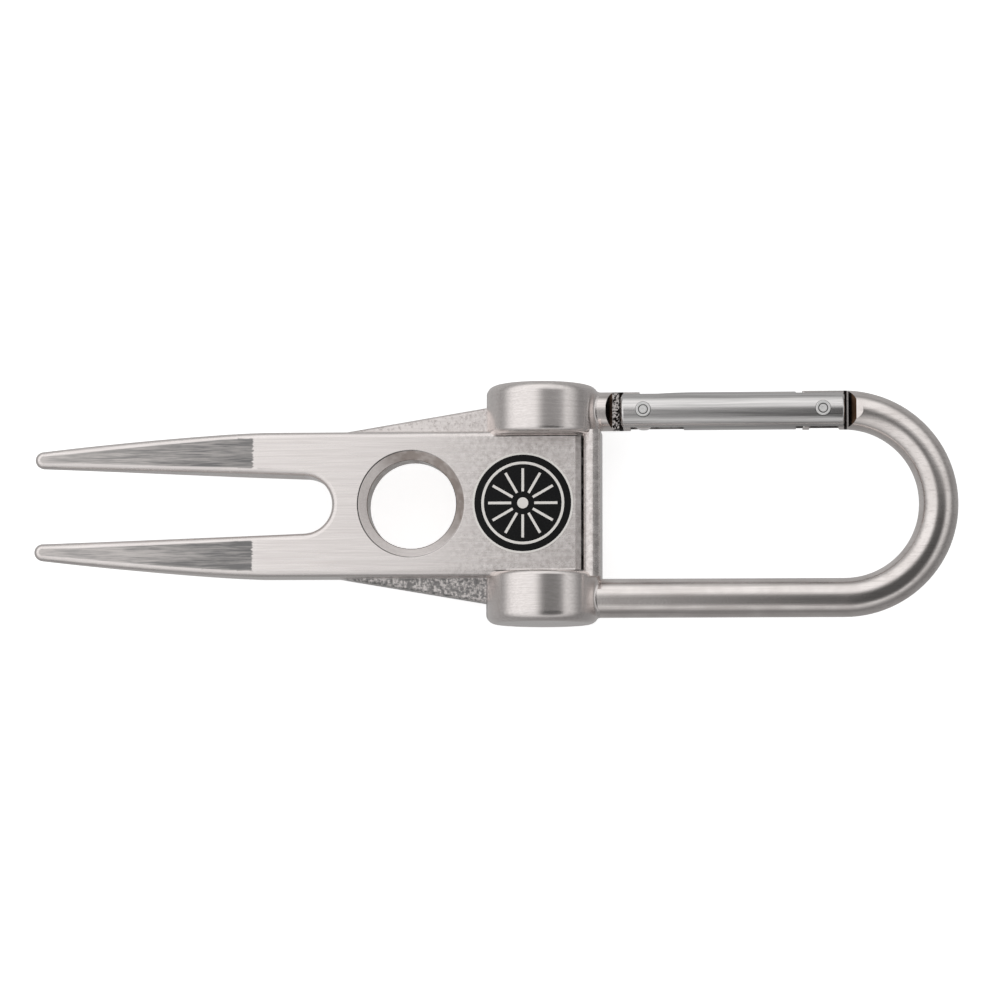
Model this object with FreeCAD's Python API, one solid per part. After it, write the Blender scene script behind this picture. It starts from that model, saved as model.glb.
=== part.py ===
import FreeCAD, Part
import math
import os

# Golf divot repair tool with a spring-gated carabiner loop. Millimetres.
# Origin: centre of the blade's through hole, halfway through the blade.
# +X runs from the fork to the carabiner loop, +Y is the gate's side, +Z leaves the emblem face.

# Fork blade
BLADE_HALF_T = 2.4          # half the blade's thickness
BLADE_HALF_W = 7.25         # half the blade's width
BLADE_END_X = 17.15         # back end of the blade, where the bar rises
BLADE_DIP_X = 16.4          # the face slopes down from here to the bar
BLADE_DIP = 0.15
BLADE_ROUND = 0.6           # rounding of the blade's long edges
HOLE_R = 4.45               # through hole
HOLE_LEAD = 0.86            # 45 degree lead-in at both mouths of the hole
HOLE_EASE = 0.26            # small radius between the lead-in and the blade's face

# Tines
TINE_ROOT_X = -14.5         # where the outer edges start to taper
TIP_X = -37.2               # centre of a tine's round tip
TIP_Y = 4.65
TIP_R = 0.85
OUTER_TIP_SLOPE = 0.115     # sideways slope of a tine's edges at its tip and at the slot's end
INNER_TIP_SLOPE = -0.028
SLOT_SLOPE = -0.04
SLOT_END_X = -10.85         # centre of the slot's round end
SLOT_END_R = 2.9
GRIND_X = -16.4             # the ground facets start here and run to the tips
TIP_FRONT_Z = 2.05
TIP_BACK_Z = 0.5
FRONT_BLEND = 1.0           # half length of the soft crease at the start of each facet
BACK_BLEND = 4.0

# Wings: lower, wider layer behind the blade that carries the bosses
WING_START_X = -7.5
WING_END_X = 10.0
WING_SLOPE = 0.17           # sideways flare per unit of length
WING_FRONT_Z = 0.95
WING_BACK_Z = -2.4
WING_TILT_DEG = 8.0         # the wings' front faces fall away from the blade
WING_ROUND = 0.4

# Bosses and the bar between them
BOSS_X = 12.97
BOSS_R = 5.59
BOSS_IN_Y = 6.85
BOSS_OUT_Y = 11.9
BOSS_OUT_ROUND = 0.95
BOSS_IN_ROUND = 0.5
BAR_END_X = 18.86           # the bar's flat back
BAR_HALF_Y = 7.3
BAR_FRONT_R = 1.2           # the bar rises in a tight arc from the blade and falls in a wide one
BAR_FRONT_DEG = 56.0
BAR_TOP_R = 2.2
BAR_CORNER_R = 0.2
BAR_EMBED = 0.15            # how far the bar's section reaches into the blade
COLLAR_ROUND = 0.4          # concave fillet where the rods leave the bosses
COLLAR_STOCK = 2.0          # length of the rod stub that carries the concave fillet
BLEND_ROUND = 0.35          # concave fillets between the blade, the wings and the bosses

# Carabiner rod
ROD_R = 1.95
LEG_Y = 9.35
SOCKET_X = 14.6             # bottom of the blind holes in the bosses
BEND_X = 42.96              # centre of the loop's half circle
TONGUE_HALF_T = 0.8         # rod flattened on both sides at the hinge and at the nose
NOSE_TIP_X = 38.9
NOSE_TIP_ROUND = 0.2
NOSE_STEP = ((43.46, 0.8), (44.24, 1.7), (46.2, 2.44))    # slanted step and bevel up to the full rod
STUB_STEP = ((20.0, 0.8), (19.37, 1.9))                   # slanted step down from the full rod
STUB_TOP_X = 22.7           # the tongue keeps the rod's full width up to here on the +Y side
STUB_LOW_X = 21.8           # and up to here on the -Y side

# Gate
HINGE_X = 23.1
LATCH_X = 40.95
GATE_START_X = 20.85
GATE_END_X = 43.1
GATE_R = 1.9
GATE_END_ROUND = 0.3
GATE_BORE_R = 1.45
GATE_BORE_END_X = 37.5
GATE_SLOT_HALF = 0.87
HINGE_SLOT_END_X = 27.1     # the hinge slot is long on the -Y side
HINGE_SLOT_TOP_X = 22.85    # and short on the +Y side
RELIEF = ((22.8, 1.69), (24.5, 1.69), (28.7, 1.95))       # shallow run-out of the short slot
LATCH_SLOT_END_X = 38.26
CAM_OFFSET = 0.41           # the tongue's round end is off the hinge towards -Y
CAM_R = 1.4

# Pins
PIN_R = 0.6
PIN_RUN = 0.04              # radial running clearance in the stub's eye
PIN_HEAD_R = 0.78
PIN_SEAT_Z = 1.66           # spot face under the formed heads
PIN_TOP_Z = 2.04
PIN_HEAD_ROUND = 0.12
PIN_GROOVE = (0.39, 0.51, 0.1)      # inner radius, outer radius and depth of the ring in each head
PIN_DIMPLE = (0.18, 0.08)           # radius and depth of the dimple in each head
NOTCH_R = 0.7
NOTCH_MOUTH = (39.52, 42.58)        # where the notch opens at the rod's edge

# Return spring and its plunger
PLUNGER_GAP = 0.03
PLUNGER_R = 1.38
PLUNGER_L = 2.2
PLUNGER_ROUND = 0.15
SPRING_END_GAP = 0.01
SPRING_ROOM = 0.27          # the plunger moves this much nearer as the gate opens
SPRING_COIL_R = 1.0
SPRING_WIRE_R = 0.16
SPRING_TURNS = 12

# Emblem
EMBLEM_X = 11.17
EMBLEM_R = 5.02
EMBLEM_FLOOR_Z = 1.5
EMBLEM_RIM_W = 0.2
EMBLEM_TOP_Z = 2.5
ENAMEL_FLOOR_Z = 2.05
ENAMEL_TOP_Z = 2.44
STUD_R = 0.55
RAY_COUNT = 12
RAY_IN_R = 1.15
RAY_OUT_R = 3.45
RING_R = 4.0
LINE_W = 0.26

# Shape making
OVERRUN = 1.0               # how far cutters reach past what they cut
TOLERANCE = 1e-3

V = FreeCAD.Vector
X_AXIS = V(1, 0, 0)
Y_AXIS = V(0, 1, 0)
Z_AXIS = V(0, 0, 1)


def rod(radius, start, direction, length):
    """Cylinder from a point along a direction. Lying along X or Y, its seam is underneath."""
    cylinder = Part.makeCylinder(radius, length, start, direction)
    return cylinder.rotate(start, direction, 180)


def block(x0, x1, y0, y1, z0, z1):
    """Box between two corners."""
    return Part.makeBox(x1 - x0, y1 - y0, z1 - z0, V(x0, y0, z0))


def prism_xy(points, z0, z1):
    """Polygon in the XY plane, extruded between two heights."""
    wire = Part.makePolygon([V(x, y, z0) for x, y in points + points[:1]])
    return Part.Face(wire).extrude(V(0, 0, z1 - z0))


def prism_xz(points, half_y):
    """Polygon in the XZ plane, extruded to both sides of Y = 0."""
    wire = Part.makePolygon([V(x, -half_y, z) for x, z in points + points[:1]])
    return Part.Face(wire).extrude(V(0, 2 * half_y, 0))


def line(a, b):
    """Straight edge in the XY plane."""
    return Part.makeLine(V(*a, 0), V(*b, 0))


def arc(a, b, c):
    """Circular arc in the XY plane through three points."""
    return Part.Arc(V(*a, 0), V(*b, 0), V(*c, 0)).toShape()


def curve(poles):
    """Smooth curve in the XY plane with the given control points."""
    bezier = Part.BezierCurve()
    bezier.setPoles([V(*pole, 0) for pole in poles])
    return bezier.toShape()


def on_circle(x, y, radius, slope, side):
    """Point of a circle where its edge has the given slope, on its upper or lower side."""
    length = math.hypot(1, slope)
    return (x - side * radius * slope / length, y + side * radius / length)


def tine_edges(side):
    """Outer edge, round tip and inner edge of one tine, from the blade to the slot's end."""
    root = (TINE_ROOT_X, BLADE_HALF_W)
    outer = on_circle(TIP_X, TIP_Y, TIP_R, OUTER_TIP_SLOPE, 1)
    inner = on_circle(TIP_X, TIP_Y, TIP_R, INNER_TIP_SLOPE, -1)
    slot = on_circle(SLOT_END_X, 0, SLOT_END_R, SLOT_SLOPE, 1)
    third = (root[0] - outer[0]) / 3
    outer_poles = [root, (root[0] - third / 2, root[1])]
    outer_poles += [(outer[0] + third, outer[1] + third * OUTER_TIP_SLOPE), outer]
    inner_poles = [inner, (inner[0] + third, inner[1] + third * INNER_TIP_SLOPE)]
    inner_poles += [(slot[0] - third, slot[1] - third * SLOT_SLOPE), slot]

    def on_side(points):
        return [(x, side * y) for x, y in points]

    return [
        curve(on_side(outer_poles)),
        arc(*on_side([outer, (TIP_X - TIP_R, TIP_Y), inner])),
        curve(on_side(inner_poles)),
    ]


def fork_outline():
    """Plan of the blade with its two tines."""
    corner_up = (BLADE_END_X, BLADE_HALF_W)
    corner_down = (BLADE_END_X, -BLADE_HALF_W)
    slot_up = on_circle(SLOT_END_X, 0, SLOT_END_R, SLOT_SLOPE, 1)
    slot_down = (slot_up[0], -slot_up[1])
    edges = [line(corner_down, corner_up), line(corner_up, (TINE_ROOT_X, BLADE_HALF_W))]
    edges += tine_edges(1)
    edges.append(arc(slot_up, (SLOT_END_X + SLOT_END_R, 0), slot_down))
    edges += tine_edges(-1)
    edges.append(line((TINE_ROOT_X, -BLADE_HALF_W), corner_down))
    return Part.Wire(Part.__sortEdges__(edges))


def facet_cut(tip_z, side, blend):
    """Wedge that thins the tines from the grinding line to the tips, on the front or the back."""
    face_z = side * BLADE_HALF_T
    slope = (face_z - tip_z) / (GRIND_X + TIP_R - TIP_X)
    end_x = TIP_X - TIP_R - OVERRUN
    far_z = 2 * face_z
    blend_end = V(GRIND_X - blend, 0, face_z - blend * slope)
    end = V(end_x, 0, face_z + (end_x - GRIND_X) * slope)
    crease = Part.BezierCurve()
    crease.setPoles([V(GRIND_X + blend, 0, face_z), V(GRIND_X, 0, face_z), blend_end])
    edges = [
        crease.toShape(),
        Part.makeLine(blend_end, end),
        Part.makeLine(end, V(end_x, 0, far_z)),
        Part.makeLine(V(end_x, 0, far_z), V(GRIND_X + blend, 0, far_z)),
        Part.makeLine(V(GRIND_X + blend, 0, far_z), V(GRIND_X + blend, 0, face_z)),
    ]
    wedge = Part.Face(Part.Wire(edges))
    wedge.translate(V(0, -2 * BLADE_HALF_W, 0))
    return wedge.extrude(V(0, 4 * BLADE_HALF_W, 0))


def is_rim_edge(edge):
    """True for an edge of the plate's outline, not an upright, a crease or the blade's end."""
    box = edge.BoundBox
    upright = box.XLength < TOLERANCE and box.YLength < TOLERANCE
    across = box.XLength < TOLERANCE
    return not upright and not across


def end_dip(side):
    """Wedge that lets the blade's face fall towards the bar."""
    face_z = side * BLADE_HALF_T
    foot_z = side * (BLADE_HALF_T - BLADE_DIP)
    points = [(BLADE_DIP_X, face_z), (BLADE_END_X, foot_z), (BLADE_END_X, 2 * face_z)]
    points.append((BLADE_DIP_X, 2 * face_z))
    return prism_xz(points, 2 * BLADE_HALF_W)


def blade():
    """Flat two-tined blade with rounded edges."""
    plate = Part.Face(fork_outline()).extrude(V(0, 0, 2 * BLADE_HALF_T))
    plate.translate(V(0, 0, -BLADE_HALF_T))
    plate = plate.cut([facet_cut(TIP_FRONT_Z, 1, FRONT_BLEND), facet_cut(TIP_BACK_Z, -1, BACK_BLEND)])
    plate = plate.makeFillet(BLADE_ROUND, [e for e in plate.Edges if is_rim_edge(e)])
    return plate.cut([end_dip(1), end_dip(-1)])


def hole_cutter():
    """Turned shape of the through hole: bore, lead-ins and eased mouths."""
    top = BLADE_HALF_T
    lead_angle = math.radians(45)
    tan_half = math.tan(lead_angle / 2)
    mouth_r = HOLE_R + HOLE_LEAD
    ease_r = mouth_r + HOLE_EASE * tan_half
    ease_drop = HOLE_EASE * tan_half * math.cos(lead_angle)
    ease_foot = (mouth_r - ease_drop, top - ease_drop)
    centre = (ease_r, top - HOLE_EASE)
    angle = math.pi / 2 + lead_angle / 2
    ease_mid = (centre[0] + HOLE_EASE * math.cos(angle), centre[1] + HOLE_EASE * math.sin(angle))
    half = [(HOLE_R, 0), (HOLE_R, top - HOLE_LEAD), ease_foot]

    def up(point, sign=1):
        return V(point[0], 0, sign * point[1])

    edges = []
    for sign in (1, -1):
        edges.append(Part.makeLine(up(half[0], sign), up(half[1], sign)))
        edges.append(Part.makeLine(up(half[1], sign), up(half[2], sign)))
        edges.append(Part.Arc(up(half[2], sign), up(ease_mid, sign), up((ease_r, top), sign)).toShape())
        edges.append(Part.makeLine(up((ease_r, top), sign), up((ease_r, top + OVERRUN), sign)))
        edges.append(Part.makeLine(up((ease_r, top + OVERRUN), sign), up((0, top + OVERRUN), sign)))
        edges.append(Part.makeLine(up((0, top + OVERRUN), sign), up((0, 0), sign)))
    face = Part.Face(Part.Wire(Part.__sortEdges__(edges)))
    return face.revolve(V(0, 0, 0), Z_AXIS, 360)


def wing_fall(side):
    """Wedge that tilts one wing's front face outwards."""
    start_y = side * BLADE_HALF_W
    end_y = side * 2 * BLADE_HALF_W
    fall = BLADE_HALF_W * math.tan(math.radians(WING_TILT_DEG))
    x = WING_START_X - OVERRUN
    corners = [V(x, start_y, WING_FRONT_Z), V(x, end_y, WING_FRONT_Z - fall), V(x, end_y, 2 * WING_FRONT_Z)]
    corners.append(V(x, start_y, 2 * WING_FRONT_Z))
    wedge = Part.Face(Part.makePolygon(corners + corners[:1]))
    return wedge.extrude(V(WING_END_X - WING_START_X + 2 * OVERRUN, 0, 0))


def wings():
    """Lower layer that flares out to the bosses."""
    end_y = BLADE_HALF_W + WING_SLOPE * (WING_END_X - WING_START_X)
    points = [(WING_START_X, BLADE_HALF_W), (WING_END_X, end_y)]
    points += [(WING_END_X, -end_y), (WING_START_X, -BLADE_HALF_W)]
    plate = prism_xy(points, WING_BACK_Z, WING_FRONT_Z)
    plate = plate.cut([wing_fall(1), wing_fall(-1)])
    edges = [e for e in plate.Edges if e.BoundBox.YLength > 1 and e.BoundBox.XLength > 1]
    return plate.makeFillet(WING_ROUND, edges)


def boss(side):
    """Round boss across the tool, with rounded ends."""
    start_y = min(side * BOSS_IN_Y, side * BOSS_OUT_Y)
    drum = rod(BOSS_R, V(BOSS_X, start_y, 0), Y_AXIS, BOSS_OUT_Y - BOSS_IN_Y)
    rims = [e for e in drum.Edges if e.BoundBox.YLength < TOLERANCE]
    outer = [e for e in rims if abs(e.BoundBox.YMin * side - BOSS_OUT_Y) < TOLERANCE]
    inner = [e for e in rims if abs(e.BoundBox.YMin * side - BOSS_IN_Y) < TOLERANCE]
    return drum.makeFillet(BOSS_OUT_ROUND, outer).makeFillet(BOSS_IN_ROUND, inner)


def is_rod_root(edge):
    """True for the curve where a rod's stock leaves its boss."""
    box = edge.BoundBox
    round_rod = abs(box.YLength - 2 * ROD_R) < COLLAR_ROUND and box.ZLength > 1.5 * ROD_R
    return round_rod and box.XLength > 1e-2 and box.XMin > BOSS_X + BOSS_R / 2


def boss_with_collar(side):
    """Boss with a concave collar where its rod comes out, still filled by the rod's own stock."""
    drum = boss(side)
    stock = rod(ROD_R, V(BOSS_X, side * LEG_Y, 0), X_AXIS, BOSS_R + COLLAR_STOCK)
    joined = drum.fuse(stock)
    return joined.makeFillet(COLLAR_ROUND, [e for e in joined.Edges if is_rod_root(e)])


def boss_cove(side):
    """Concave strip where the blade's face meets a boss."""
    wall_y = side * BOSS_IN_Y
    foot = V(0, wall_y - side * BLEND_ROUND, BLADE_HALF_T)
    top = V(0, wall_y, BLADE_HALF_T + BLEND_ROUND)
    dip = BLEND_ROUND * (1 - math.cos(math.radians(45)))
    middle = V(0, wall_y - side * dip, BLADE_HALF_T + dip)
    root = [V(0, wall_y + side * BLADE_ROUND, z) for z in (BLADE_HALF_T + BLEND_ROUND, 0)]
    under = V(0, foot.y, 0)
    edges = [Part.Arc(foot, middle, top).toShape()]
    for start, end in ((top, root[0]), (root[0], root[1]), (root[1], under), (under, foot)):
        edges.append(Part.makeLine(start, end))
    strip = Part.Face(Part.Wire(edges))
    half_l = BLADE_DIP_X - BOSS_X
    strip.translate(V(BOSS_X - half_l, 0, 0))
    return strip.extrude(V(2 * half_l, 0, 0))


def is_blended(edge):
    """True for the inner corners along the wings."""
    box = edge.BoundBox
    beside_blade = box.XLength > BLADE_HALF_W and box.YLength < TOLERANCE and box.ZLength < TOLERANCE
    on_wing = abs(abs(box.YMin) - BLADE_HALF_W) < TOLERANCE and abs(box.ZMin - WING_FRONT_Z) < TOLERANCE
    return beside_blade and on_wing


def bar_edges(side):
    """Half of the bar's section: foot in the blade, tight arc, wide arc, corner, flat back."""
    foot_z = BLADE_HALF_T - BLADE_DIP
    rise = math.radians(BAR_FRONT_DEG)
    crest_x = BLADE_END_X + BAR_FRONT_R * math.sin(rise)
    crest_z = foot_z + BAR_FRONT_R * (1 - math.cos(rise))
    top_sin = (BAR_END_X - BAR_CORNER_R - crest_x) / (BAR_TOP_R - BAR_CORNER_R)
    top_z = crest_z - BAR_TOP_R
    corner_z = top_z + (BAR_TOP_R - BAR_CORNER_R) * math.sqrt(1 - top_sin ** 2)
    corner_x = BAR_END_X - BAR_CORNER_R

    def on_arc(x, z, radius, angle):
        return V(x + radius * math.sin(angle), 0, side * (z + radius * math.cos(angle)))

    top_angle = math.asin(top_sin)
    arcs = [
        (crest_x, crest_z - BAR_FRONT_R, BAR_FRONT_R, -rise, 0),
        (crest_x, top_z, BAR_TOP_R, 0, top_angle),
        (corner_x, corner_z, BAR_CORNER_R, top_angle, math.pi / 2),
    ]
    root = V(BLADE_END_X - BAR_EMBED, 0, 0)
    inner = V(BLADE_END_X - BAR_EMBED, 0, side * (foot_z - BAR_EMBED))
    foot = V(BLADE_END_X, 0, side * foot_z)
    edges = [Part.makeLine(root, inner), Part.makeLine(inner, foot)]
    for x, z, radius, start, end in arcs:
        points = [on_arc(x, z, radius, angle) for angle in (start, (start + end) / 2, end)]
        edges.append(Part.Arc(*points).toShape())
    edges.append(Part.makeLine(V(BAR_END_X, 0, side * corner_z), V(BAR_END_X, 0, 0)))
    return edges


def bar():
    """Cross bar between the bosses, round in front and flat behind."""
    section = Part.Face(Part.Wire(Part.__sortEdges__(bar_edges(1) + bar_edges(-1))))
    section.translate(V(0, -BAR_HALF_Y, 0))
    return section.extrude(V(0, 2 * BAR_HALF_Y, 0))


def fork_casting():
    """One die casting: blade and tines, wings, both bosses and the bar between them."""
    body = blade().fuse([wings(), boss_with_collar(1), boss_with_collar(-1), bar()]).removeSplitter()
    body = body.makeFillet(BLEND_ROUND, [e for e in body.Edges if is_blended(e)])
    body = body.fuse([boss_cove(1), boss_cove(-1)])
    stock_end = BOSS_X + BOSS_R + COLLAR_STOCK + OVERRUN
    cutters = [hole_cutter(), emblem_pocket()]
    for side in (1, -1):
        cutters.append(rod(ROD_R, V(SOCKET_X, side * LEG_Y, 0), X_AXIS, stock_end - SOCKET_X))
    return body.cut(cutters)


def emblem_pocket():
    """Round seat for the emblem."""
    return rod(EMBLEM_R, V(EMBLEM_X, 0, EMBLEM_FLOOR_Z), Z_AXIS, BLADE_HALF_T - EMBLEM_FLOOR_Z + OVERRUN)


def ray(index):
    """One raised line of the emblem's plain pattern of rays."""
    spoke = block(RAY_IN_R, RAY_OUT_R, -LINE_W / 2, LINE_W / 2, ENAMEL_FLOOR_Z, EMBLEM_TOP_Z)
    spoke.rotate(V(0, 0, 0), Z_AXIS, index * 360 / RAY_COUNT)
    spoke.translate(V(EMBLEM_X, 0, 0))
    return spoke


def ring(inner_r, outer_r, z0, z1):
    """Flat ring round the emblem's centre."""
    centre = V(EMBLEM_X, 0, z0)
    return rod(outer_r, centre, Z_AXIS, z1 - z0).cut(rod(inner_r, centre, Z_AXIS, z1 - z0))


def emblem_lines():
    """Raised lines: stud, rays, ring."""
    stud = rod(STUD_R, V(EMBLEM_X, 0, ENAMEL_FLOOR_Z), Z_AXIS, EMBLEM_TOP_Z - ENAMEL_FLOOR_Z)
    band = ring(RING_R - LINE_W / 2, RING_R + LINE_W / 2, ENAMEL_FLOOR_Z, EMBLEM_TOP_Z)
    return [stud, band] + [ray(i) for i in range(RAY_COUNT)]


def emblem_disc():
    """Metal disc with a raised rim and raised lines."""
    base = rod(EMBLEM_R, V(EMBLEM_X, 0, EMBLEM_FLOOR_Z), Z_AXIS, ENAMEL_FLOOR_Z - EMBLEM_FLOOR_Z)
    rim = ring(EMBLEM_R - EMBLEM_RIM_W, EMBLEM_R, ENAMEL_FLOOR_Z, EMBLEM_TOP_Z)
    return base.fuse([rim] + emblem_lines()).removeSplitter()


def enamel_fill():
    """Enamel between the emblem's rim and its raised lines."""
    depth = ENAMEL_TOP_Z - ENAMEL_FLOOR_Z
    fill = rod(EMBLEM_R - EMBLEM_RIM_W, V(EMBLEM_X, 0, ENAMEL_FLOOR_Z), Z_AXIS, depth)
    return fill.cut(emblem_lines())


def loop_blank():
    """Bent round rod: lower leg, half circle and the straight that becomes the nose."""
    start = V(SOCKET_X, -LEG_Y, 0)
    bend_start = V(BEND_X, -LEG_Y, 0)
    bend_end = V(BEND_X, LEG_Y, 0)
    edges = [
        Part.makeLine(start, bend_start),
        Part.Arc(bend_start, V(BEND_X + LEG_Y, 0, 0), bend_end).toShape(),
        Part.makeLine(bend_end, V(NOSE_TIP_X, LEG_Y, 0)),
    ]
    circle = Part.makeCircle(ROD_R, start, X_AXIS)
    section = Part.Wire(circle.rotate(start, X_AXIS, 180))
    return Part.Wire(edges).makePipeShell([section], True, True)


def step_cutters(profile, far_x, half_y):
    """Cutters above and below a rod that follow a stepped profile out to one end."""
    top = 2 * ROD_R
    cutters = []
    for side in (1, -1):
        points = [(far_x, side * profile[0][1])] + [(x, side * z) for x, z in profile]
        points += [(profile[-1][0], side * top), (far_x, side * top)]
        cutter = prism_xz(points, half_y)
        cutter.translate(V(0, LEG_Y, 0))
        cutters.append(cutter)
    return cutters


def latch_notch():
    """Notch in the nose for the latch pin, open towards the inside of the loop."""
    deep = rod(NOTCH_R, V(LATCH_X, LEG_Y, -ROD_R), Z_AXIS, 2 * ROD_R)
    mouth_y = LEG_Y - ROD_R
    points = [(LATCH_X - NOTCH_R, LEG_Y), (LATCH_X + NOTCH_R, LEG_Y)]
    points += [(NOTCH_MOUTH[1], mouth_y), (NOTCH_MOUTH[1], mouth_y - ROD_R)]
    points += [(NOTCH_MOUTH[0], mouth_y - ROD_R), (NOTCH_MOUTH[0], mouth_y)]
    return [deep, prism_xy(points, -ROD_R, ROD_R)]


def loop_rod():
    """Round rod of the carabiner, flattened and notched at its nose."""
    tongue = loop_blank().cut(step_cutters(NOSE_STEP, NOSE_TIP_X - OVERRUN, LEG_Y / 2))
    level = [e for e in tongue.Edges if e.BoundBox.ZLength < TOLERANCE]
    tip = [e for e in level if e.BoundBox.XMax < NOSE_TIP_X + TOLERANCE]
    return tongue.makeFillet(NOSE_TIP_ROUND, tip).cut(latch_notch())


def hinge_stub():
    """Short rod in the other boss, flattened to a tongue with an eye and a cam-shaped end."""
    stock = rod(ROD_R, V(SOCKET_X, LEG_Y, 0), X_AXIS, HINGE_X - SOCKET_X)
    reach = 2 * ROD_R
    cam_y = LEG_Y - CAM_OFFSET
    cutters = step_cutters(STUB_STEP, HINGE_X + OVERRUN, reach)
    cutters.append(block(STUB_TOP_X, HINGE_X + OVERRUN, cam_y, LEG_Y + reach, -reach, reach))
    cutters.append(block(STUB_LOW_X, HINGE_X + OVERRUN, LEG_Y - reach, cam_y, -reach, reach))
    neck = stock.cut(cutters)
    web = block(STUB_LOW_X, HINGE_X, cam_y - CAM_R / 2, cam_y + CAM_R / 2, -TONGUE_HALF_T, TONGUE_HALF_T)
    cam = rod(CAM_R, V(HINGE_X, cam_y, -TONGUE_HALF_T), Z_AXIS, 2 * TONGUE_HALF_T)
    eye = rod(PIN_R + PIN_RUN, V(HINGE_X, LEG_Y, -reach), Z_AXIS, 2 * reach)
    return neck.fuse([web, cam]).removeSplitter().cut(eye)


def pin_seats(x):
    """Spot faces and through hole for one pin across the gate."""
    centre = V(x, LEG_Y, 0)
    seats = [rod(PIN_R, centre - Z_AXIS * GATE_R, Z_AXIS, 2 * GATE_R)]
    for side in (1, -1):
        seats.append(rod(PIN_HEAD_R, centre + Z_AXIS * (side * PIN_SEAT_Z), Z_AXIS * side, GATE_R))
    return seats


def gate_slot(x0, x1, y0, y1):
    """Cutter for a slot across the gate."""
    return block(x0, x1, LEG_Y + y0, LEG_Y + y1, -GATE_SLOT_HALF, GATE_SLOT_HALF)


def slot_run_out():
    """Shallow ramp where the short slot runs out along the gate's top."""
    points = [(x, LEG_Y + y) for x, y in RELIEF]
    points += [(RELIEF[-1][0], LEG_Y + 2 * GATE_R), (RELIEF[0][0], LEG_Y + 2 * GATE_R)]
    return prism_xy(points, -GATE_SLOT_HALF, GATE_SLOT_HALF)


def gate_tube():
    """Round gate, bored from the hinge end and slotted across at both ends."""
    stock = rod(GATE_R, V(GATE_START_X, LEG_Y, 0), X_AXIS, GATE_END_X - GATE_START_X)
    ends = [e for e in stock.Edges if e.BoundBox.XLength < TOLERANCE]
    stock = stock.makeFillet(GATE_END_ROUND, ends)
    start = GATE_START_X - OVERRUN
    reach = 2 * GATE_R
    cutters = [rod(GATE_BORE_R, V(start, LEG_Y, 0), X_AXIS, GATE_BORE_END_X - start)]
    cutters.append(gate_slot(start, HINGE_SLOT_END_X, -reach, 0))
    cutters.append(gate_slot(start, HINGE_SLOT_TOP_X, 0, reach))
    cutters.append(gate_slot(LATCH_SLOT_END_X, GATE_END_X + OVERRUN, -reach, reach))
    cutters.append(slot_run_out())
    cutters += pin_seats(HINGE_X) + pin_seats(LATCH_X)
    return stock.cut(cutters)


def gate_pin(x):
    """Pin across the gate with a formed head at each end, each with a turned ring."""
    centre = V(x, LEG_Y, 0)
    pin = rod(PIN_R, centre - Z_AXIS * PIN_SEAT_Z, Z_AXIS, 2 * PIN_SEAT_Z)
    inner_r, outer_r, groove_depth = PIN_GROOVE
    dimple_r, dimple_depth = PIN_DIMPLE
    for side in (1, -1):
        seat = centre + Z_AXIS * (side * PIN_SEAT_Z)
        head = rod(PIN_HEAD_R, seat, Z_AXIS * side, PIN_TOP_Z - PIN_SEAT_Z)
        level = [e for e in head.Edges if e.BoundBox.ZLength < TOLERANCE]
        rim = [e for e in level if abs(abs(e.BoundBox.ZMin) - PIN_TOP_Z) < TOLERANCE]
        head = head.makeFillet(PIN_HEAD_ROUND, rim)
        floor = centre + Z_AXIS * (side * (PIN_TOP_Z - groove_depth))
        dimple_floor = centre + Z_AXIS * (side * (PIN_TOP_Z - dimple_depth))
        core = rod(inner_r, floor, Z_AXIS * side, OVERRUN)
        groove = rod(outer_r, floor, Z_AXIS * side, OVERRUN).cut(core)
        dimple = rod(dimple_r, dimple_floor, Z_AXIS * side, OVERRUN)
        pin = pin.fuse(head.cut([groove, dimple]))
    return pin.removeSplitter()


def spring_plunger():
    """Plug that the spring presses against the tongue's cam."""
    start = HINGE_X + CAM_R + PLUNGER_GAP
    plug = rod(PLUNGER_R, V(start, LEG_Y, 0), X_AXIS, PLUNGER_L)
    rims = [e for e in plug.Edges if e.BoundBox.XLength < TOLERANCE]
    return plug.makeFillet(PLUNGER_ROUND, rims)


def gate_spring():
    """Compression spring between the plunger and the bottom of the gate's bore."""
    plunger_end = HINGE_X + CAM_R + PLUNGER_GAP + PLUNGER_L
    start = plunger_end + SPRING_ROOM + SPRING_END_GAP + SPRING_WIRE_R
    length = GATE_BORE_END_X - SPRING_WIRE_R - SPRING_END_GAP - start
    helix = Part.makeHelix(length / SPRING_TURNS, length, SPRING_COIL_R)
    section = Part.Wire(Part.makeCircle(SPRING_WIRE_R, V(SPRING_COIL_R, 0, 0), Y_AXIS))
    coil = Part.Wire(helix.Edges).makePipeShell([section], True, True)
    coil.rotate(V(0, 0, 0), Y_AXIS, 90)
    coil.translate(V(start, LEG_Y, 0))
    return coil


def main():
    """Write every sub-part as its own STEP file."""
    nodes = {
        "fork_casting": fork_casting(),
        "loop_rod": loop_rod(),
        "hinge_stub": hinge_stub(),
        "emblem_disc": emblem_disc(),
        "enamel_fill": enamel_fill(),
        "gate_tube": gate_tube(),
        "hinge_rivet": gate_pin(HINGE_X),
        "latch_pin": gate_pin(LATCH_X),
        "spring_plunger": spring_plunger(),
        "gate_spring": gate_spring(),
    }
    os.makedirs("parts", exist_ok=True)
    for name, shape in nodes.items():
        shape.exportStep("parts/" + name + ".step")
        print(name, "valid", shape.isValid(), "solids", len(shape.Solids), "volume", round(shape.Volume, 2))


main()
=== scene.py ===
import math

import bpy
from mathutils import Matrix, Vector


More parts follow.
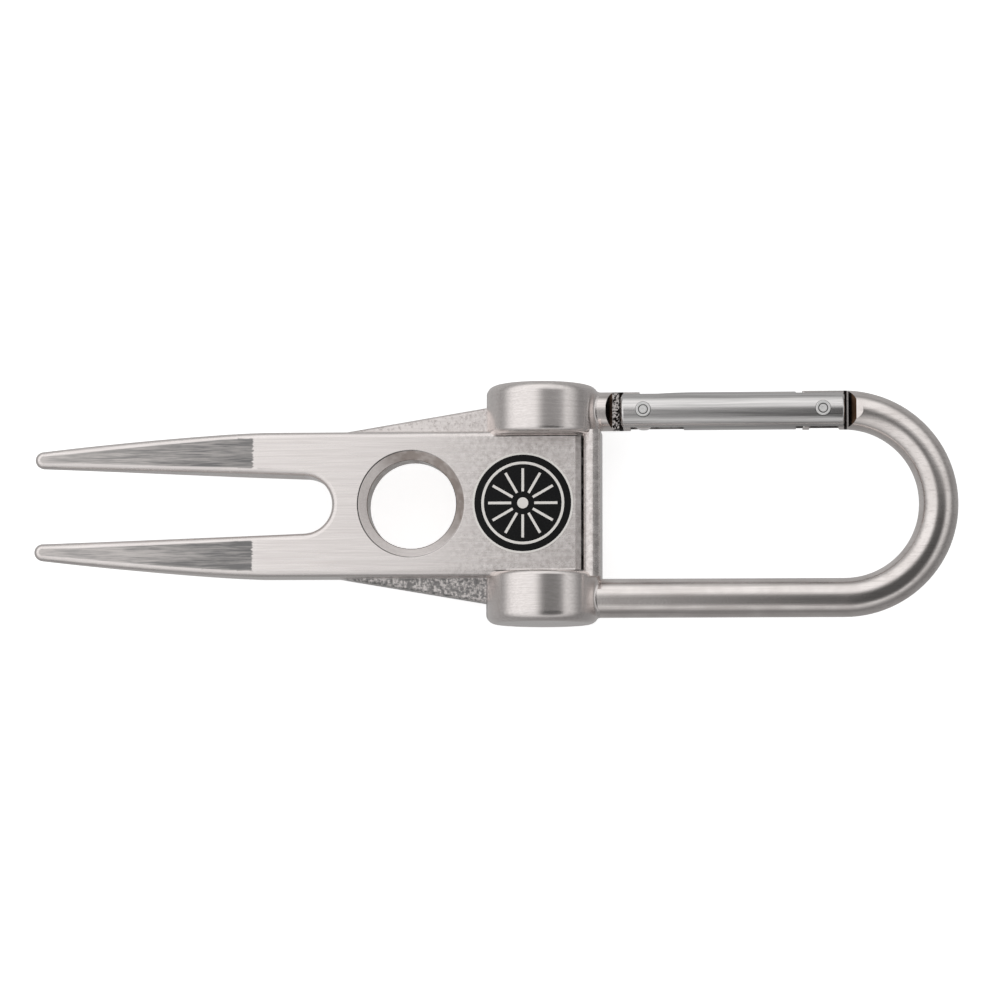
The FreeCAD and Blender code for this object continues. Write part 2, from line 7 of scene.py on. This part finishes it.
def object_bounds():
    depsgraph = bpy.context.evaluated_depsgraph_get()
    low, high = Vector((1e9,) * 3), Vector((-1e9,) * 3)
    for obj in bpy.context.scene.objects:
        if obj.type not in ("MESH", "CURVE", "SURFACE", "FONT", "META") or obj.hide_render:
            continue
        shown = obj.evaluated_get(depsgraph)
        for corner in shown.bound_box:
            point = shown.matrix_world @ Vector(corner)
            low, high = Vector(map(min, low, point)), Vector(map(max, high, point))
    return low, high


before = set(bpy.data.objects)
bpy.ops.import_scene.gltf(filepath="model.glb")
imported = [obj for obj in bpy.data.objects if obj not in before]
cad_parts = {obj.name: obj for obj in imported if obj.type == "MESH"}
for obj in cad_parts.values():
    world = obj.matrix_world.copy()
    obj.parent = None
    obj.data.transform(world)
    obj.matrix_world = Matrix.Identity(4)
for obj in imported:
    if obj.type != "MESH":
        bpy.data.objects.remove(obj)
CAD_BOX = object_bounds()

# ---------------------------------------------------------------- sizes, in metres
MM = 0.001
CAM_DISTANCE = 360 * MM         # from the aim point to the lens
CAM_RIGHT_DEG = 4.31            # the camera stands a little to +X of straight above
CAM_LOW_DEG = 5.83              # and a little to -Y
CAM_ROLL_DEG = 0.11
CAM_LENS = 129.6
CAM_AIM = Vector((8.72 * MM, 0.55 * MM, 0.0))
FLOOR_GAP = 0.1 * MM

BRUSH_LONG = 1 / (6 * MM)       # one over the length of a brush stroke
BRUSH_FINE = 1 / (0.13 * MM)    # one over the spacing between strokes

BOSS_X = 12.97 * MM             # axis, radius and inner end of the round bosses
BOSS_R = 5.75 * MM
BOSS_IN_Y = 6.84 * MM
WING_Y = 7.3 * MM               # the wings lie outside this, up to WING_END_X
WING_END_X = 7.6 * MM
GRIND_X = -15.8 * MM            # mean line where the coarse grinding of the tines begins
TIP_X = -37.5 * MM
PINS_X = (23.1 * MM, 40.95 * MM)  # axes of the rivet and the latch pin
PINS_Y = 9.35 * MM
HOLE_R = 4.45 * MM
HOLE_MOUTH_R = 5.31 * MM
DIP_X = 16.4 * MM               # the blade's face slopes down from here to the bar
BAR_EDGE_X = 16.95 * MM         # crevice between the blade and the bar
COVE_Y = 6.66 * MM              # where the bosses' coves meet the blade


# ---------------------------------------------------------------- node helpers
class Net:
    """Short hand for one material's node tree."""

    def __init__(self, tree):
        self.tree = tree
        self.tree.nodes.clear()

    def add(self, kind, **settings):
        node = self.tree.nodes.new(kind)
        for key, value in settings.items():
            setattr(node, key, value)
        return node

    def link(self, out, socket):
        if hasattr(out, "links"):
            self.tree.links.new(out, socket)
        else:
            socket.default_value = out

    def math(self, op, a, b=0.0, clamp=False):
        node = self.add("ShaderNodeMath", operation=op, use_clamp=clamp)
        self.link(a, node.inputs[0])
        self.link(b, node.inputs[1])
        return node.outputs[0]

    def ramp(self, value, low, high, to_low=0.0, to_high=1.0, smooth=True):
        node = self.add("ShaderNodeMapRange", clamp=True)
        node.interpolation_type = "SMOOTHSTEP" if smooth else "LINEAR"
        self.link(value, node.inputs["Value"])
        for name, number in (("From Min", low), ("From Max", high), ("To Min", to_low), ("To Max", to_high)):
            self.link(number, node.inputs[name])
        return node.outputs["Result"]

    def mix(self, factor, a, b):
        """Blend two numbers."""
        node = self.add("ShaderNodeMix", data_type="FLOAT")
        self.link(factor, node.inputs[0])
        self.link(a, node.inputs[2])
        self.link(b, node.inputs[3])
        return node.outputs[0]

    def tint(self, factor, a, b):
        """Blend two colours."""
        node = self.add("ShaderNodeMix", data_type="RGBA")
        self.link(factor, node.inputs[0])
        self.link(a, node.inputs[6])
        self.link(b, node.inputs[7])
        return node.outputs[2]

    def place(self):
        """Position on the object, in metres, as separate X, Y and Z."""
        coords = self.add("ShaderNodeTexCoord")
        split = self.add("ShaderNodeSeparateXYZ")
        self.link(coords.outputs["Object"], split.inputs[0])
        return split.outputs[0], split.outputs[1], split.outputs[2]

    def facing(self):
        """Surface direction on the object, as separate X, Y and Z."""
        coords = self.add("ShaderNodeTexCoord")
        split = self.add("ShaderNodeSeparateXYZ")
        self.link(coords.outputs["Normal"], split.inputs[0])
        return split.outputs[0], split.outputs[1], split.outputs[2]

    def vector(self, x, y, z):
        node = self.add("ShaderNodeCombineXYZ")
        for value, socket in zip((x, y, z), node.inputs):
            self.link(value, socket)
        return node.outputs[0]

    def noise(self, vector, detail=2.0, rough=0.5, scale=1.0):
        node = self.add("ShaderNodeTexNoise")
        self.link(vector, node.inputs["Vector"])
        node.inputs["Scale"].default_value = scale
        node.inputs["Detail"].default_value = detail
        node.inputs["Roughness"].default_value = rough
        return node.outputs["Fac"]

    def bump(self, height, strength, distance, normal=None):
        node = self.add("ShaderNodeBump")
        self.link(height, node.inputs["Height"])
        self.link(strength, node.inputs["Strength"])
        node.inputs["Distance"].default_value = distance
        if normal is not None:
            self.link(normal, node.inputs["Normal"])
        return node.outputs["Normal"]

    def band(self, value, low, high, edge):
        """1 between two values and 0 outside them, with soft edges."""
        rise = self.ramp(value, low - edge, low + edge)
        return self.math("SUBTRACT", rise, self.ramp(value, high - edge, high + edge))

    def both(self, a, b):
        return self.math("MULTIPLY", a, b)

    def metal(self, colour, roughness, normal, metallic=1.0):
        shader = self.add("ShaderNodeBsdfPrincipled")
        shader.inputs["Metallic"].default_value = metallic
        self.link(colour, shader.inputs["Base Color"])
        self.link(roughness, shader.inputs["Roughness"])
        if normal is not None:
            self.link(normal, shader.inputs["Normal"])
        out = self.add("ShaderNodeOutputMaterial")
        self.link(shader.outputs[0], out.inputs["Surface"])
        return shader


def new_material(name):
    material = bpy.data.materials.new(name)
    material.use_nodes = True
    return material, Net(material.node_tree)


def streaks(net, x, y, z, long_scale, fine_scale, detail=3.0):
    """Noise drawn out along X: the trace of lengthwise brushing."""
    vector = net.vector(
        net.math("MULTIPLY", x, long_scale),
        net.math("MULTIPLY", y, fine_scale),
        net.math("MULTIPLY", z, fine_scale),
    )
    return net.noise(vector, detail=detail, rough=0.6)


# ---------------------------------------------------------------- materials
WARM_LIGHT = (0.93, 0.875, 0.85, 1)
BLADE_LIGHT = (0.99, 0.935, 0.915, 1)
WARM_DARK = (0.60, 0.55, 0.53, 1)
STROKE_LIGHT = (0.72, 0.68, 0.66, 1)
STROKE_DARK = (0.24, 0.235, 0.235, 1)
# near-black: painted shade and painted dark reflection in crevices, gaps and steps, also dark spots on the rod's flats
NEAR_BLACK = (0.012, 0.009, 0.008, 1)
# brown for painted shade on the rod's step faces
STEP_SHADE_BROWN = (0.16, 0.095, 0.06, 1)
# brown for painted shade on the hole's wall
WALL_SHADE_BROWN = (0.30, 0.235, 0.20, 1)
GATE_LIGHT = (0.87, 0.85, 0.84, 1)
GATE_DARK = (0.55, 0.54, 0.535, 1)


def casting_material():
    """Satin nickel: brushed blade, coarsely ground tines, turned bosses, rough cast wings."""
    material, net = new_material("casting_satin_nickel")
    x, y, z = net.place()
    _, _, up = net.facing()
    up = net.math("ABSOLUTE", up)
    aside = net.math("ABSOLUTE", y)

    blade_brush = streaks(net, x, y, z, BRUSH_LONG, BRUSH_FINE)
    broad_brush = streaks(net, x, y, z, BRUSH_LONG / 3, BRUSH_FINE / 6)
    strokes = streaks(net, x, y, z, BRUSH_LONG * 2.2, BRUSH_FINE / 1.1, detail=4.0)
    wide_strokes = streaks(net, x, y, z, BRUSH_LONG / 1.5, BRUSH_FINE / 4, detail=2.0)

    # painted shade: near-black lines in the crevices by the bar and the bosses
    near_bar = net.both(net.band(x, BAR_EDGE_X, BAR_EDGE_X + 0.28 * MM, 0.06 * MM), net.ramp(aside, 6.6 * MM, 6.8 * MM, 1.0, 0.0))
    near_boss = net.both(net.band(aside, COVE_Y, COVE_Y + 0.10 * MM, 0.04 * MM), net.band(x, 8.4 * MM, 16.6 * MM, 0.3 * MM))
    patchy = net.noise(net.vector(x, y, z), detail=3.0, scale=1 / (0.8 * MM))
    crevice_shade = net.both(net.math("MAXIMUM", near_bar, near_boss), net.ramp(patchy, 0.3, 0.6, 0.85, 1.0))
    crevice_shade = net.both(crevice_shade, net.ramp(z, 1.2 * MM, 1.35 * MM))

    # the through hole: painted brown shade on its wall and on its lead-in towards +X and +Y, and a painted dark
    # reflection in a line round its mouth, stronger towards -X
    from_hole = net.math("SQRT", net.math("ADD", net.both(x, x), net.both(y, y)))
    patchy_half = net.ramp(patchy, 0.25, 0.65, 0.6, 1.0)
    hole_wall_shade = net.both(net.ramp(from_hole, HOLE_R + 0.02 * MM, HOLE_R + 0.08 * MM, 1.0, 0.0), patchy_half)
    lead_in = net.band(from_hole, HOLE_R + 0.06 * MM, HOLE_MOUTH_R, 0.02 * MM)
    mouth_reflection_line = net.both(net.band(from_hole, HOLE_MOUTH_R - 0.02 * MM, HOLE_MOUTH_R + 0.07 * MM, 0.03 * MM), net.ramp(x, HOLE_R, -HOLE_R, 0.35, 0.95))

    # the tines' ground flats: from a ragged line to the tips
    ragged = net.noise(net.vector(0.0, net.math("MULTIPLY", y, 1 / (0.22 * MM)), 0.0), detail=2.0)
    line_x = net.math("ADD", net.math("MULTIPLY", ragged, 0.8 * MM), GRIND_X - 0.4 * MM)
    past = net.math("SUBTRACT", line_x, x)
    ground = net.both(net.ramp(past, 0.0, 0.18 * MM), net.ramp(up, 0.975, 0.998))

    # the bosses: inside their radius and beyond their inner ends
    off_axis = net.math("SUBTRACT", x, BOSS_X)
    radius = net.math("SQRT", net.math("ADD", net.both(off_axis, off_axis), net.both(z, z)))
    turned = net.both(net.ramp(radius, BOSS_R, BOSS_R + 0.05 * MM, 1.0, 0.0), net.ramp(aside, BOSS_IN_Y, BOSS_IN_Y + 0.05 * MM))
    round_brush = net.noise(net.vector(
        net.math("MULTIPLY", x, BRUSH_LONG / 2),
        net.math("MULTIPLY", y, BRUSH_FINE),
        net.math("MULTIPLY", z, BRUSH_LONG / 2),
    ), detail=3.0, rough=0.6)

    # the wings: rough as cast
    cast_grain = net.noise(net.vector(x, y, z), detail=4.0, rough=0.65, scale=1 / (0.33 * MM))
    wing = net.both(net.ramp(aside, WING_Y, WING_Y + 0.1 * MM), net.band(x, -20 * MM, WING_END_X, 0.1 * MM))
    wing = net.both(wing, net.ramp(x, -8.0 * MM, -6.0 * MM))

    # colour
    colour = net.tint(net.ramp(blade_brush, 0.3, 0.7), WARM_DARK, WARM_LIGHT)
    colour = net.tint(0.66, colour, BLADE_LIGHT)
    pitted = net.noise(net.vector(x, y, z), detail=4.0, rough=0.7, scale=1 / (0.5 * MM))
    by_emblem = net.both(net.ramp(x, 0.0, 9 * MM), net.math("SUBTRACT", 1.0, turned))
    colour = net.tint(net.both(by_emblem, net.ramp(pitted, 0.35, 0.72, 0.0, 0.75)), colour, WARM_DARK)
    colour = net.tint(net.both(turned, net.ramp(round_brush, 0.35, 0.75, 0.0, 0.2)), colour, WARM_DARK)
    colour = net.tint(net.both(wing, net.ramp(cast_grain, 0.5, 0.66, 0.0, 0.8)), colour, WARM_DARK)
    # darker grain on the wing towards -Y
    minus_y_wing = net.both(wing, net.ramp(y, -WING_Y, WING_Y, 1.0, 0.0))
    colour = net.tint(net.both(minus_y_wing, net.ramp(cast_grain, 0.38, 0.58, 0.0, 0.85)), colour, STROKE_DARK)
    stroke = net.math("ADD", net.math("MULTIPLY", strokes, 0.65), net.math("MULTIPLY", wide_strokes, 0.35))
    to_tip = net.ramp(x, TIP_X, GRIND_X, 0.45, -0.25, smooth=False)
    stroke = net.math("ADD", net.ramp(stroke, 0.34, 0.66, 0.0, 0.85), to_tip, clamp=True)
    colour = net.tint(ground, colour, net.tint(stroke, STROKE_DARK, STROKE_LIGHT))

    # painted shade and reflection: brown over the hole's wall and lead-in, near-black in the crevices and round the
    # hole's mouth
    far_side = net.ramp(net.math("ADD", x, y), -1.0 * MM, 4.0 * MM, 0.0, 0.75)
    hole_wall_shade = net.math("MAXIMUM", hole_wall_shade, net.both(net.both(lead_in, far_side), patchy_half))
    colour = net.tint(hole_wall_shade, colour, WALL_SHADE_BROWN)
    colour = net.tint(net.math("MAXIMUM", crevice_shade, mouth_reflection_line), colour, NEAR_BLACK)

    rough = net.ramp(broad_brush, 0.3, 0.7, 0.22, 0.30)
    rough = net.mix(turned, rough, 0.24)
    rough = net.mix(wing, rough, 0.38)
    rough = net.mix(lead_in, rough, 0.5)
    end_strip = net.both(net.band(x, DIP_X, BAR_EDGE_X, 0.05 * MM), net.ramp(aside, 6.5 * MM, 6.7 * MM, 1.0, 0.0))
    rough = net.mix(end_strip, rough, 0.55)
    rough = net.mix(ground, rough, net.ramp(strokes, 0.3, 0.7, 0.36, 0.5))

    flat_face = net.mix(by_emblem, blade_brush, net.math("MULTIPLY", pitted, 1.5))
    height = net.mix(turned, net.mix(ground, flat_face, strokes), round_brush)
    height = net.mix(wing, height, net.math("MULTIPLY", cast_grain, 3.0))
    strength = net.mix(ground, net.mix(wing, net.mix(by_emblem, 0.12, 0.3), 0.8), 0.35)
    normal = net.bump(height, strength, 0.02 * MM)
    shader = net.metal(colour, rough, normal)
    net.link(net.mix(lead_in, 1.0, 0.35), shader.inputs["Metallic"])
    shader.inputs["Anisotropic"].default_value = 0.8
    net.link(net.vector(0.08, 1.0, 0.05), shader.inputs["Tangent"])
    return material


def rod_material():
    """Satin nickel on the round rod, polished smoother than the casting, dull where it is cut flat."""
    material, net = new_material("rod_satin_nickel")
    x, y, z = net.place()
    cloud = net.noise(net.vector(x, y, z), detail=3.0, scale=1 / (2.5 * MM))
    fine = net.noise(net.vector(x, y, z), detail=2.0, scale=1 / (0.22 * MM))
    drawn = streaks(net, x, y, z, BRUSH_LONG / 2, BRUSH_FINE / 2)
    colour = net.tint(net.ramp(cloud, 0.3, 0.7), WARM_LIGHT, (0.82, 0.765, 0.74, 1))
    colour = net.tint(net.ramp(drawn, 0.45, 0.75, 0.0, 0.5), colour, WARM_DARK)

    # painted shade: the steep step faces by the hinge and the latch are painted near-black, browner further out
    along, _, _ = net.facing()
    gate_side = net.ramp(y, 6.9 * MM, 7.0 * MM)
    inside = net.ramp(net.math("ABSOLUTE", z), 1.9 * MM, 1.98 * MM, 1.0, 0.0)
    near = net.math("ADD", net.band(x, 19.2 * MM, 20.1 * MM, 0.04 * MM), net.band(x, 43.35 * MM, 44.35 * MM, 0.04 * MM))
    steep = net.ramp(net.math("ABSOLUTE", along), 0.45, 0.65)
    browner = net.math("ADD", net.ramp(x, 19.65 * MM, 19.95 * MM), net.ramp(x, 43.7 * MM, 43.9 * MM))
    browner = net.math("SUBTRACT", browner, net.ramp(x, 20.2 * MM, 20.3 * MM))
    step_shade_and_spots = net.both(net.both(gate_side, inside), net.both(near, steep))
    colour = net.tint(step_shade_and_spots, colour, net.tint(browner, NEAR_BLACK, STEP_SHADE_BROWN))

    # the flats beside them are mottled with dark spots, and carry a painted shade line in the gap where the gate begins
    flat = net.both(gate_side, net.ramp(net.math("ABSOLUTE", z), 0.84 * MM, 0.9 * MM, 1.0, 0.0))
    mottled = net.both(net.band(x, 20.02 * MM, 20.7 * MM, 0.03 * MM), net.ramp(fine, 0.46, 0.54))
    line = net.math("ADD", net.band(x, 20.68 * MM, 21.1 * MM, 0.03 * MM), net.band(x, 43.0 * MM, 43.3 * MM, 0.03 * MM))
    spots_and_gap_shade = net.both(flat, net.math("MAXIMUM", mottled, line))
    colour = net.tint(spots_and_gap_shade, colour, NEAR_BLACK)
    step_shade_and_spots = net.math("MAXIMUM", step_shade_and_spots, spots_and_gap_shade)

    rough = net.mix(step_shade_and_spots, net.ramp(cloud, 0.3, 0.7, 0.13, 0.19), 0.5)
    normal = net.bump(net.math("ADD", fine, drawn), 0.14, 0.02 * MM)
    collar = net.both(gate_side, net.ramp(x, 19.4 * MM, 19.5 * MM, 1.0, 0.0))
    net.metal(colour, net.mix(collar, rough, 0.08), normal)
    return material


def gate_material():
    """Neutral grey metal brushed along the gate."""
    material, net = new_material("gate_brushed_steel")
    x, y, z = net.place()
    brush = streaks(net, x, y, z, BRUSH_LONG / 1.5, BRUSH_FINE)
    broad = streaks(net, x, y, z, BRUSH_LONG / 2.5, BRUSH_FINE / 4)
    share = net.math("ADD", net.math("MULTIPLY", brush, 0.5), net.math("MULTIPLY", broad, 0.5))
    colour = net.tint(net.ramp(share, 0.3, 0.62), GATE_DARK, GATE_LIGHT)
    rough = net.ramp(brush, 0.3, 0.7, 0.15, 0.23)
    normal = net.bump(brush, 0.16, 0.02 * MM)
    shader = net.metal(colour, rough, normal)
    shader.inputs["Anisotropic"].default_value = 0.6
    across = net.add("ShaderNodeVectorMath", operation="CROSS_PRODUCT")
    across.inputs[0].default_value = (1.0, 0.0, 0.0)
    coords = net.add("ShaderNodeTexCoord")
    net.link(coords.outputs["Normal"], across.inputs[1])
    net.link(across.outputs[0], shader.inputs["Tangent"])
    return material


def bright_material(name, light, dark, rough_low, rough_high, metallic=1.0):
    """Bright small metal parts with a faint cloudy wear."""
    material, net = new_material(name)
    x, y, z = net.place()
    cloud = net.noise(net.vector(x, y, z), detail=3.0, scale=1 / (0.8 * MM))
    colour = net.tint(net.ramp(cloud, 0.3, 0.7), light, dark)
    rough = net.ramp(cloud, 0.3, 0.7, rough_low, rough_high)
    fine = net.noise(net.vector(x, y, z), detail=2.0, scale=1 / (0.15 * MM))
    net.metal(colour, rough, net.bump(fine, 0.10, 0.01 * MM), metallic)
    return material


def rivet_material():
    """Bright steel heads, turned in rings, with painted shade in the groove and round the rim."""
    material, net = new_material("rivet_steel")
    x, y, z = net.place()
    nearest = None
    for pin_x in PINS_X:
        off = net.math("SUBTRACT", x, pin_x)
        aside = net.math("SUBTRACT", y, PINS_Y)
        radius = net.math("SQRT", net.math("ADD", net.both(off, off), net.both(aside, aside)))
        nearest = radius if nearest is None else net.math("MINIMUM", nearest, radius)
    cloud = net.noise(net.vector(x, y, z), detail=3.0, scale=1 / (0.5 * MM))
    rings = net.noise(net.vector(net.math("MULTIPLY", nearest, 1 / (0.09 * MM)), cloud, 0.0), detail=1.0)
    colour = net.tint(net.ramp(rings, 0.3, 0.7), (1.0, 0.99, 0.98, 1), (0.70, 0.695, 0.69, 1))
    # painted shade in the head's groove and round its rim
    groove_rim_shade = net.math("MAXIMUM", net.band(nearest, 0.40 * MM, 0.49 * MM, 0.03 * MM), net.ramp(nearest, 0.70 * MM, 0.76 * MM))
    groove_rim_shade = net.both(groove_rim_shade, net.ramp(net.math("ABSOLUTE", z), 1.5 * MM, 1.6 * MM))
    colour = net.tint(net.both(groove_rim_shade, net.ramp(cloud, 0.3, 0.6, 0.8, 1.0)), colour, NEAR_BLACK)
    net.metal(colour, net.ramp(rings, 0.3, 0.7, 0.32, 0.5), net.bump(rings, 0.35, 0.02 * MM), metallic=0.45)
    return material


def enamel_material():
    """Glossy black enamel with a slight orange peel."""
    material, net = new_material("black_enamel")
    x, y, z = net.place()
    peel = net.noise(net.vector(x, y, z), detail=1.0, scale=1 / (1.4 * MM))
    specks = net.noise(net.vector(x, y, z), detail=2.0, scale=1 / (0.2 * MM))
    colour = net.tint(net.ramp(specks, 0.4, 0.8), (0.003, 0.003, 0.0035, 1), (0.008, 0.008, 0.009, 1))
    rough = net.ramp(peel, 0.3, 0.7, 0.10, 0.16)
    shader = net.metal(colour, rough, net.bump(peel, 0.12, 0.02 * MM), metallic=0.0)
    shader.inputs["Specular IOR Level"].default_value = 0.22
    return material


def dress(node, material):
    """Give a carried-over node its material."""
    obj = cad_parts[node]
    for slot in obj.material_slots:
        slot.material = material


def dress_all():
    casting = casting_material()
    rod = rod_material()
    pins = rivet_material()
    spring = bright_material("spring_wire", (0.66, 0.66, 0.66, 1), (0.5, 0.5, 0.5, 1), 0.22, 0.34)
    emblem = bright_material("emblem_metal", (1.0, 0.97, 0.93, 1), (0.93, 0.90, 0.86, 1), 0.42, 0.55, metallic=0.45)
    dress("fork_casting", casting)
    dress("loop_rod", rod)
    dress("hinge_stub", rod)
    dress("gate_tube", gate_material())
    dress("hinge_rivet", pins)
    dress("latch_pin", pins)
    dress("spring_plunger", spring)
    dress("gate_spring", spring)
    dress("emblem_disc", emblem)
    dress("enamel_fill", enamel_material())


# ---------------------------------------------------------------- studio
def camera():
    """Long lens, nearly straight above, aimed between the hole and the emblem."""
    back = Vector((math.tan(math.radians(CAM_RIGHT_DEG)), -math.tan(math.radians(CAM_LOW_DEG)), 1.0)).normalized()
    right = Vector((0, 1, 0)).cross(back).normalized()
    up = back.cross(right)
    roll = math.radians(CAM_ROLL_DEG)
    right, up = (right * math.cos(roll) + up * math.sin(roll), up * math.cos(roll) - right * math.sin(roll))
    data = bpy.data.cameras.new("camera")
    data.lens = CAM_LENS
    data.sensor_width = 36
    data.clip_start = 0.01
    obj = bpy.data.objects.new("camera", data)
    bpy.context.scene.collection.objects.link(obj)
    matrix = Matrix((right, up, back)).transposed().to_4x4()
    matrix.translation = CAM_AIM + back * CAM_DISTANCE
    obj.matrix_world = matrix
    bpy.context.scene.camera = obj


def floor():
    """Plain white floor that the bosses rest on. It glows a little, so that shadows stay faint."""
    low = CAD_BOX[0][2] - FLOOR_GAP
    half = 1.5
    mesh = bpy.data.meshes.new("floor")
    corners = [(-half, -half, low), (half, -half, low), (half, half, low), (-half, half, low)]
    mesh.from_pydata(corners, [], [(0, 1, 2, 3)])
    obj = bpy.data.objects.new("floor", mesh)
    bpy.context.scene.collection.objects.link(obj)
    material, net = new_material("floor_white")
    x, y, z = net.place()
    cloud = net.noise(net.vector(x, y, z), detail=2.0, scale=1 / (40 * MM))
    colour = net.tint(cloud, (0.90, 0.90, 0.90, 1), (0.93, 0.93, 0.93, 1))
    shader = net.metal(colour, 0.6, None, metallic=0.0)
    shader.inputs["Emission Color"].default_value = (1, 1, 1, 1)
    shader.inputs["Emission Strength"].default_value = 0.62
    mesh.materials.append(material)
    obj.visible_glossy = False


# The light tent, by direction. Angles are in degrees from straight up.
TENT_FALL = ((0, 1.0), (55, 1.0), (70, 0.80), (80, 0.52), (92, 0.36), (105, 0.42), (130, 0.45), (155, 0.5), (180, 0.5))
TENT_MEAN = 0.98
TENT_LEFT = 0.17        # brighter towards -X
TENT_BACK = 0.22        # and towards +Y
TENT_SPREAD = -0.02     # and along X rather than along Y
CARD_HEIGHT = 300 * MM
CARD_CENTRE = (122 * MM, -85 * MM)
CARD_REACH_X = (125 * MM, 215 * MM)     # towards -X and towards +X, to the middle of its soft edge
CARD_REACH_Y = (270 * MM, 180 * MM)     # towards -Y and towards +Y
CARD_SOFT = 0.5
CARD_LEVEL = 0.085


def studio():
    """Soft light from all round: a light tent, brightest overhead. The dark opening near the camera is the card that
    dark_card hangs.
    """
    world = bpy.data.worlds.new("studio")
    world.use_nodes = True
    net = Net(world.node_tree)
    coords = net.add("ShaderNodeTexCoord")
    split = net.add("ShaderNodeSeparateXYZ")
    net.link(coords.outputs["Generated"], split.inputs[0])
    x, y, z = split.outputs
    to_degrees = 180 / math.pi

    # falls off from overhead to below
    from_up = net.math("MULTIPLY", net.math("ARCCOSINE", net.math("MAXIMUM", net.math("MINIMUM", z, 1.0), -1.0)), to_degrees)
    curve = net.add("ShaderNodeFloatCurve")
    line = curve.mapping.curves[0]
    line.points[0].location = (TENT_FALL[0][0] / 180, TENT_FALL[0][1])
    line.points[-1].location = (TENT_FALL[-1][0] / 180, TENT_FALL[-1][1])
    for angle, value in TENT_FALL[1:-1]:
        line.points.new(angle / 180, value)
    curve.mapping.update()
    net.link(net.math("DIVIDE", from_up, 180.0), curve.inputs["Value"])

    # differs from side to side
    level = net.math("ADD", TENT_MEAN, net.math("MULTIPLY", x, -TENT_LEFT))
    level = net.math("ADD", level, net.math("MULTIPLY", y, TENT_BACK))
    spread = net.math("SUBTRACT", net.both(x, x), net.both(y, y))
    level = net.math("ADD", level, net.math("MULTIPLY", spread, TENT_SPREAD))
    level = net.both(level, curve.outputs[0])

    background = net.add("ShaderNodeBackground")
    net.link(level, background.inputs["Strength"])
    out = net.add("ShaderNodeOutputWorld")
    net.link(background.outputs[0], out.inputs["Surface"])
    bpy.context.scene.world = world
    bpy.context.scene.view_settings.view_transform = "Standard"


def reach(net, value, centre, reaches):
    """How far out a coordinate lies: 1 at the card's edge on either side."""
    off = net.math("SUBTRACT", value, centre)
    low = net.math("DIVIDE", off, -reaches[0])
    return net.math("POWER", net.math("MAXIMUM", low, net.math("DIVIDE", off, reaches[1])), 4.0)


def dark_card():
    """Grey card with soft edges, hung over the loop, which only the metal reflects."""
    size = (1 + CARD_SOFT)
    x_low, x_high = CARD_CENTRE[0] - size * CARD_REACH_X[0], CARD_CENTRE[0] + size * CARD_REACH_X[1]
    y_low, y_high = CARD_CENTRE[1] - size * CARD_REACH_Y[0], CARD_CENTRE[1] + size * CARD_REACH_Y[1]
    corners = [(x_low, y_low, CARD_HEIGHT), (x_high, y_low, CARD_HEIGHT), (x_high, y_high, CARD_HEIGHT), (x_low, y_high, CARD_HEIGHT)]
    mesh = bpy.data.meshes.new("dark_card")
    mesh.from_pydata(corners, [], [(0, 1, 2, 3)])
    obj = bpy.data.objects.new("dark_card", mesh)
    bpy.context.scene.collection.objects.link(obj)
    material, net = new_material("card_grey")
    x, y, _ = net.place()
    out = net.math("POWER", net.math("ADD", reach(net, x, CARD_CENTRE[0], CARD_REACH_X), reach(net, y, CARD_CENTRE[1], CARD_REACH_Y)), 0.25)
    glow = net.add("ShaderNodeEmission")
    glow.inputs["Color"].default_value = (CARD_LEVEL, CARD_LEVEL, CARD_LEVEL, 1)
    clear = net.add("ShaderNodeBsdfTransparent")
    blend = net.add("ShaderNodeMixShader")
    net.link(net.ramp(out, 1 - CARD_SOFT, 1 + CARD_SOFT), blend.inputs[0])
    net.link(glow.outputs[0], blend.inputs[1])
    net.link(clear.outputs[0], blend.inputs[2])
    surface = net.add("ShaderNodeOutputMaterial")
    net.link(blend.outputs[0], surface.inputs["Surface"])
    mesh.materials.append(material)
    obj.visible_camera = False
    obj.visible_diffuse = False


dress_all()
camera()
floor()
dark_card()
studio()
